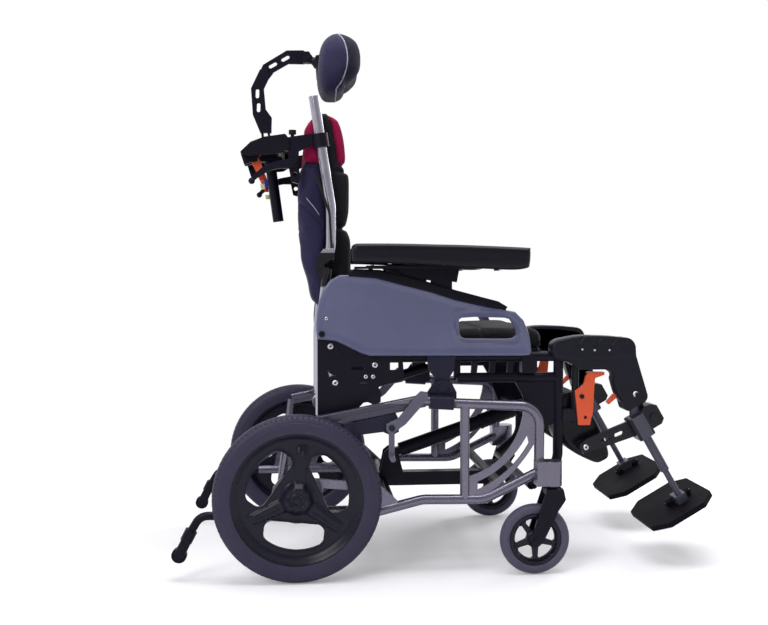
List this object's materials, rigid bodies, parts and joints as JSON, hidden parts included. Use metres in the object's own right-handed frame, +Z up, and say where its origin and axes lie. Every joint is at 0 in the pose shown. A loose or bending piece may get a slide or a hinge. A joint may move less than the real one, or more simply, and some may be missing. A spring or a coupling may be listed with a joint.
{
  "type": "tilt-in-space wheelchair",
  "caption": "Attendant wheelchair with tilting seat, reclining back, headrest, flip-up arms, elevating legrests, footplates, casters and anti-tip rollers.",
  "frame": {"origin": "on the floor, under the middle of the chair's bounding box", "axes": "+X forward, towards the footplates; +Z up; the chair's right side is -Y"},
  "size_m": [1.1878, 0.586, 1.1972],
  "materials": {
    "frame_paint": "satin metallic lacquer",
    "dark_paint": "satin dark grey",
    "black_paint": "satin black",
    "steel": "zinc plated",
    "silver_tube": "satin anodised",
    "rear_tyre": "dark grey rubber",
    "caster_tyre": "grey polyurethane",
    "black_plastic": "moulded, matt",
    "slate_plastic": "moulded, satin",
    "pad_foam": "self-skinned foam",
    "black_fabric": "knitted upholstery",
    "navy_fabric": "woven upholstery",
    "orange_plastic": "moulded, gloss",
    "cable": "sheathed cable"
  },
  "bodies": {
    "base": {"side_frame_right": "frame_paint", "side_frame_left": "frame_paint", "cross_frame": "dark_paint", "rear_axles": "steel", "tilt_bearings": "dark_paint", "lock_mounts": "dark_paint"},
    "seat": {"seat_frame": "black_paint", "seat_brackets": "black_paint", "seat_pan": "black_plastic", "seat_cushion": "black_fabric"},
    "back_lower": {"back_lower_frame": "silver_tube"},
    "back": {"back_canes": "silver_tube", "back_shell": "navy_fabric", "back_cushion": "black_fabric", "brake_cables": "cable"},
    "push_bar": {"push_bar": "black_paint", "push_bar_cover": "black_plastic"},
    "headrest_post": {"headrest_post": "black_paint"},
    "headrest_arm": {"headrest_link": "black_plastic"},
    "headrest_pad": {"headrest_pad": "navy_fabric"},
    "tilt_cylinder": {"tilt_cylinder": "black_paint"},
    "tilt_rod": {"tilt_rod": "steel"},
    "recline_cylinder": {"recline_cylinder": "black_paint"},
    "recline_rod": {"recline_rod": "steel"},
    "rear_wheel_right": {"rear_tyre_right": "rear_tyre", "rear_rim_right": "black_plastic"},
    "caster_fork_right": {"caster_fork_right": "black_plastic"},
    "caster_wheel_right": {"caster_tyre_right": "caster_tyre", "caster_hub_right": "black_plastic"},
    "anti_tip_right": {"anti_tip_right": "black_paint"},
    "anti_tip_roller_right": {"anti_tip_roller_right": "black_plastic"},
    "lock_lever_right": {"lock_lever_right": "dark_paint"},
    "side_panel_right": {"side_panel_right": "slate_plastic"},
    "armrest_right": {"armrest_post_right": "black_paint", "arm_pad_right": "black_plastic"},
    "brake_lever_right": {"brake_lever_right": "black_paint"},
    "trigger_right": {"trigger_right": "orange_plastic"},
    "legrest_hanger_right": {"legrest_hanger_right": "black_plastic"},
    "release_lever_right": {"release_lever_right": "orange_plastic"},
    "legrest_right": {"legrest_tube_right": "black_paint"},
    "calf_pad_right": {"calf_pad_right": "pad_foam"},
    "footplate_right": {"footplate_right": "black_plastic"},
    "rear_wheel_left": {"rear_tyre_left": "rear_tyre", "rear_rim_left": "black_plastic"},
    "caster_fork_left": {"caster_fork_left": "black_plastic"},
    "caster_wheel_left": {"caster_tyre_left": "caster_tyre", "caster_hub_left": "black_plastic"},
    "anti_tip_left": {"anti_tip_left": "black_paint"},
    "anti_tip_roller_left": {"anti_tip_roller_left": "black_plastic"},
    "lock_lever_left": {"lock_lever_left": "dark_paint"},
    "side_panel_left": {"side_panel_left": "slate_plastic"},
    "armrest_left": {"armrest_post_left": "black_paint", "arm_pad_left": "black_plastic"},
    "brake_lever_left": {"brake_lever_left": "black_paint"},
    "trigger_left": {"trigger_left": "orange_plastic"},
    "legrest_hanger_left": {"legrest_hanger_left": "black_plastic"},
    "release_lever_left": {"release_lever_left": "orange_plastic"},
    "legrest_left": {"legrest_tube_left": "black_paint"},
    "calf_pad_left": {"calf_pad_left": "pad_foam"},
    "footplate_left": {"footplate_left": "black_plastic"}
  },
  "joints": [
    {"name": "tilt", "type": "hinge", "parent": "base", "child": "seat", "pos_m": [-0.014, 0, 0.402], "axis": [0, -1, 0], "range_deg": [0, 35]},
    {"name": "recline", "type": "hinge", "parent": "seat", "child": "back_lower", "pos_m": [-0.247, 0, 0.411], "axis": [0, -1, 0], "range_deg": [0, 30]},
    {"name": "back_fold", "type": "hinge", "parent": "back_lower", "child": "back", "pos_m": [-0.277, 0, 0.669], "axis": [0, 1, 0], "range_deg": [-90, 0]},
    {"name": "push_bar_slide", "type": "slide", "parent": "back", "child": "push_bar", "axis": [-0.1514, 0, 0.9885], "range_m": [0, 0.06]},
    {"name": "headrest_height", "type": "slide", "parent": "push_bar", "child": "headrest_post", "axis": [-0.1342, 0, 0.991], "range_m": [0, 0.08]},
    {"name": "headrest_elbow", "type": "hinge", "parent": "headrest_post", "child": "headrest_arm", "pos_m": [-0.404, 0, 1.112], "axis": [0, -1, 0], "range_deg": [-5, 25]},
    {"name": "headrest_angle", "type": "hinge", "parent": "headrest_arm", "child": "headrest_pad", "pos_m": [-0.299, 0, 1.15], "axis": [0, -1, 0], "range_deg": [-20, 20]},
    {"name": "tilt_strut_swing", "type": "hinge", "parent": "base", "child": "tilt_cylinder", "pos_m": [-0.108, 0, 0.22], "axis": [0, -1, 0], "range_deg": [-0.5, 19.6]},
    {"name": "tilt_strut_stroke", "type": "slide", "parent": "tilt_cylinder", "child": "tilt_rod", "axis": [0.9472, 0, 0.3208], "range_m": [-0.001, 0.0712]},
    {"name": "recline_strut_swing", "type": "hinge", "parent": "seat", "child": "recline_cylinder", "pos_m": [-0.005, 0.04, 0.436], "axis": [0, -1, 0], "range_deg": [-0.5, 4.4]},
    {"name": "recline_strut_stroke", "type": "slide", "parent": "recline_cylinder", "child": "recline_rod", "axis": [-0.9555, 0, -0.2951], "range_m": [-0.0305, 0.001]},
    {"name": "rear_wheel_spin_right", "type": "hinge", "parent": "base", "child": "rear_wheel_right", "pos_m": [-0.328, -0.268, 0.178], "axis": [0, 1, 0], "continuous": true},
    {"name": "caster_swivel_right", "type": "hinge", "parent": "base", "child": "caster_fork_right", "pos_m": [0.222, -0.248, 0.21], "axis": [0, 0, 1], "continuous": true},
    {"name": "caster_spin_right", "type": "hinge", "parent": "caster_fork_right", "child": "caster_wheel_right", "pos_m": [0.183, -0.248, 0.0762], "axis": [0, 1, 0], "continuous": true},
    {"name": "anti_tip_turn_right", "type": "hinge", "parent": "base", "child": "anti_tip_right", "pos_m": [-0.42, -0.235, 0.137], "axis": [1, 0, 0], "range_deg": [0, 180]},
    {"name": "roller_spin_right", "type": "hinge", "parent": "anti_tip_right", "child": "anti_tip_roller_right", "pos_m": [-0.577, -0.235, 0.055], "axis": [0, 1, 0], "continuous": true},
    {"name": "wheel_lock_right", "type": "hinge", "parent": "base", "child": "lock_lever_right", "pos_m": [-0.128, -0.252, 0.322], "axis": [0, 1, 0], "range_deg": [0, 52]},
    {"name": "armrest_flip_right", "type": "hinge", "parent": "seat", "child": "side_panel_right", "pos_m": [-0.275, -0.214, 0.52], "axis": [0, 1, 0], "range_deg": [-90, 0]},
    {"name": "armrest_height_right", "type": "slide", "parent": "side_panel_right", "child": "armrest_right", "axis": [0, 0, 1], "range_m": [0, 0.08]},
    {"name": "brake_lever_right", "type": "hinge", "parent": "push_bar", "child": "brake_lever_right", "pos_m": [-0.332, -0.191, 0.886], "axis": [0, 1, 0], "range_deg": [0, 10], "stiffness_Nm_per_rad": 0.6},
    {"name": "trigger_right", "type": "hinge", "parent": "push_bar", "child": "trigger_right", "pos_m": [-0.418, -0.15, 0.9], "axis": [0, 1, 0], "range_deg": [0, 15], "stiffness_Nm_per_rad": 0.3},
    {"name": "legrest_swing_right", "type": "hinge", "parent": "seat", "child": "legrest_hanger_right", "pos_m": [0.249, -0.188, 0.46], "axis": [0, 0, 1], "range_deg": [-90, 0]},
    {"name": "legrest_release_right", "type": "hinge", "parent": "legrest_hanger_right", "child": "release_lever_right", "pos_m": [0.298, -0.201, 0.378], "axis": [0, 1, 0], "range_deg": [0, 15], "stiffness_Nm_per_rad": 0.3},
    {"name": "legrest_elevation_right", "type": "hinge", "parent": "legrest_hanger_right", "child": "legrest_right", "pos_m": [0.422, -0.194, 0.38], "axis": [0, -1, 0], "range_deg": [0, 60]},
    {"name": "calf_pad_angle_right", "type": "hinge", "parent": "legrest_right", "child": "calf_pad_right", "pos_m": [0.31005, -0.18, 0.26347], "axis": [0, 1, 0], "range_deg": [-12, 12]},
    {"name": "footplate_flip_right", "type": "hinge", "parent": "legrest_right", "child": "footplate_right", "pos_m": [0.532, -0.172, 0.14104], "axis": [0.866, 0, 0.5], "range_deg": [0, 90]},
    {"name": "rear_wheel_spin_left", "type": "hinge", "parent": "base", "child": "rear_wheel_left", "pos_m": [-0.328, 0.268, 0.178], "axis": [0, 1, 0], "continuous": true},
    {"name": "caster_swivel_left", "type": "hinge", "parent": "base", "child": "caster_fork_left", "pos_m": [0.222, 0.248, 0.21], "axis": [0, 0, 1], "continuous": true},
    {"name": "caster_spin_left", "type": "hinge", "parent": "caster_fork_left", "child": "caster_wheel_left", "pos_m": [0.183, 0.248, 0.0762], "axis": [0, 1, 0], "continuous": true},
    {"name": "anti_tip_turn_left", "type": "hinge", "parent": "base", "child": "anti_tip_left", "pos_m": [-0.42, 0.235, 0.137], "axis": [-1, 0, 0], "range_deg": [0, 180]},
    {"name": "roller_spin_left", "type": "hinge", "parent": "anti_tip_left", "child": "anti_tip_roller_left", "pos_m": [-0.577, 0.235, 0.055], "axis": [0, 1, 0], "continuous": true},
    {"name": "wheel_lock_left", "type": "hinge", "parent": "base", "child": "lock_lever_left", "pos_m": [-0.128, 0.252, 0.322], "axis": [0, 1, 0], "range_deg": [0, 52]},
    {"name": "armrest_flip_left", "type": "hinge", "parent": "seat", "child": "side_panel_left", "pos_m": [-0.275, 0.214, 0.52], "axis": [0, 1, 0], "range_deg": [-90, 0]},
    {"name": "armrest_height_left", "type": "slide", "parent": "side_panel_left", "child": "armrest_left", "axis": [0, 0, 1], "range_m": [0, 0.08]},
    {"name": "brake_lever_left", "type": "hinge", "parent": "push_bar", "child": "brake_lever_left", "pos_m": [-0.332, 0.191, 0.886], "axis": [0, 1, 0], "range_deg": [0, 10], "stiffness_Nm_per_rad": 0.6},
    {"name": "trigger_left", "type": "hinge", "parent": "push_bar", "child": "trigger_left", "pos_m": [-0.418, 0.15, 0.9], "axis": [0, 1, 0], "range_deg": [0, 15], "stiffness_Nm_per_rad": 0.3},
    {"name": "legrest_swing_left", "type": "hinge", "parent": "seat", "child": "legrest_hanger_left", "pos_m": [0.249, 0.188, 0.46], "axis": [0, 0, -1], "range_deg": [-90, 0]},
    {"name": "legrest_release_left", "type": "hinge", "parent": "legrest_hanger_left", "child": "release_lever_left", "pos_m": [0.298, 0.201, 0.378], "axis": [0, 1, 0], "range_deg": [0, 15], "stiffness_Nm_per_rad": 0.3},
    {"name": "legrest_elevation_left", "type": "hinge", "parent": "legrest_hanger_left", "child": "legrest_left", "pos_m": [0.422, 0.194, 0.38], "axis": [0, -1, 0], "range_deg": [0, 60]},
    {"name": "calf_pad_angle_left", "type": "hinge", "parent": "legrest_left", "child": "calf_pad_left", "pos_m": [0.31005, 0.18, 0.26347], "axis": [0, 1, 0], "range_deg": [-12, 12]},
    {"name": "footplate_flip_left", "type": "hinge", "parent": "legrest_left", "child": "footplate_left", "pos_m": [0.532, 0.172, 0.14104], "axis": [-0.866, 0, -0.5], "range_deg": [0, 90]}
  ],
  "couplings": [
    {"joint": "tilt_strut_swing", "follows": "tilt", "ratio": 0.54649},
    {"joint": "tilt_strut_stroke", "follows": "tilt", "m_per_rad": 0.11465},
    {"joint": "recline_strut_swing", "follows": "recline", "ratio": 0.12855},
    {"joint": "recline_strut_stroke", "follows": "recline", "m_per_rad": -0.056127}
  ]
}
